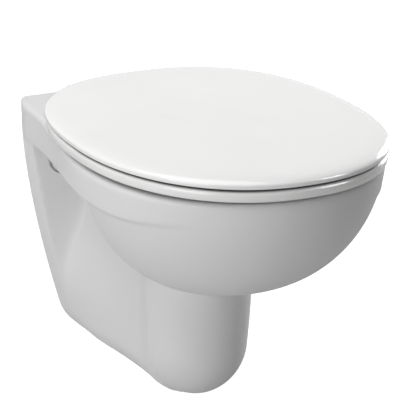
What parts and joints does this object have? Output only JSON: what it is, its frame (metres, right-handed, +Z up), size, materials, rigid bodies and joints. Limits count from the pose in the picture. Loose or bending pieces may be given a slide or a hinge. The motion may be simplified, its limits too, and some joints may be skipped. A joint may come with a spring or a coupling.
{
  "type": "wall hung toilet",
  "caption": "Wall hung toilet: glazed china pan on a narrow foot, with an oval seat and lid that lift on rear hinges, wall fixings, flush inlet and waste outlet.",
  "frame": {"origin": "on the wall plane, midway between the two wall studs", "axes": "+Z up, +Y into the wall, front of the pan towards -Y"},
  "size_m": [0.358, 0.567, 0.3711],
  "materials": {
    "vitreous_china": "glossy white glaze",
    "seat_plastic": "glossy white moulding",
    "hinge_plastic": "white moulding",
    "white_plastic": "white moulding",
    "bush_nylon": "natural nylon",
    "soft_gasket": "soft pale grey moulding",
    "black_rubber": "matt black moulding",
    "zinc_steel": "bright zinc plate",
    "stainless_pin": "ground"
  },
  "bodies": {
    "pan_body": {"pan_bowl": "vitreous_china", "pan_back": "vitreous_china", "trapway": "vitreous_china", "inlet_seal": "black_rubber", "wall_studs": "zinc_steel", "wall_sleeves": "white_plastic", "wall_washers": "zinc_steel", "wall_nuts": "zinc_steel", "wall_caps": "white_plastic", "hinge_post_left": "hinge_plastic", "hinge_post_right": "hinge_plastic", "hinge_pin_left": "stainless_pin", "hinge_pin_right": "stainless_pin", "hinge_gaskets": "soft_gasket", "seat_studs": "zinc_steel", "cone_washers": "black_rubber", "flat_washers": "zinc_steel", "wing_nuts": "white_plastic"},
    "seat_body": {"seat_ring": "seat_plastic", "seat_bushes": "bush_nylon", "seat_buffers": "soft_gasket"},
    "lid_body": {"lid": "seat_plastic", "lid_bushes": "bush_nylon", "lid_buffers": "soft_gasket"}
  },
  "joints": [
    {"name": "seat_hinge", "type": "hinge", "parent": "pan_body", "child": "seat_body", "pos_m": [0, -0.064, 0.0985], "axis": [1, 0, 0], "range_deg": [-91, 0]},
    {"name": "lid_hinge", "type": "hinge", "parent": "seat_body", "child": "lid_body", "pos_m": [0, -0.064, 0.0985], "axis": [-1, 0, 0], "range_deg": [0, 90]}
  ]
}
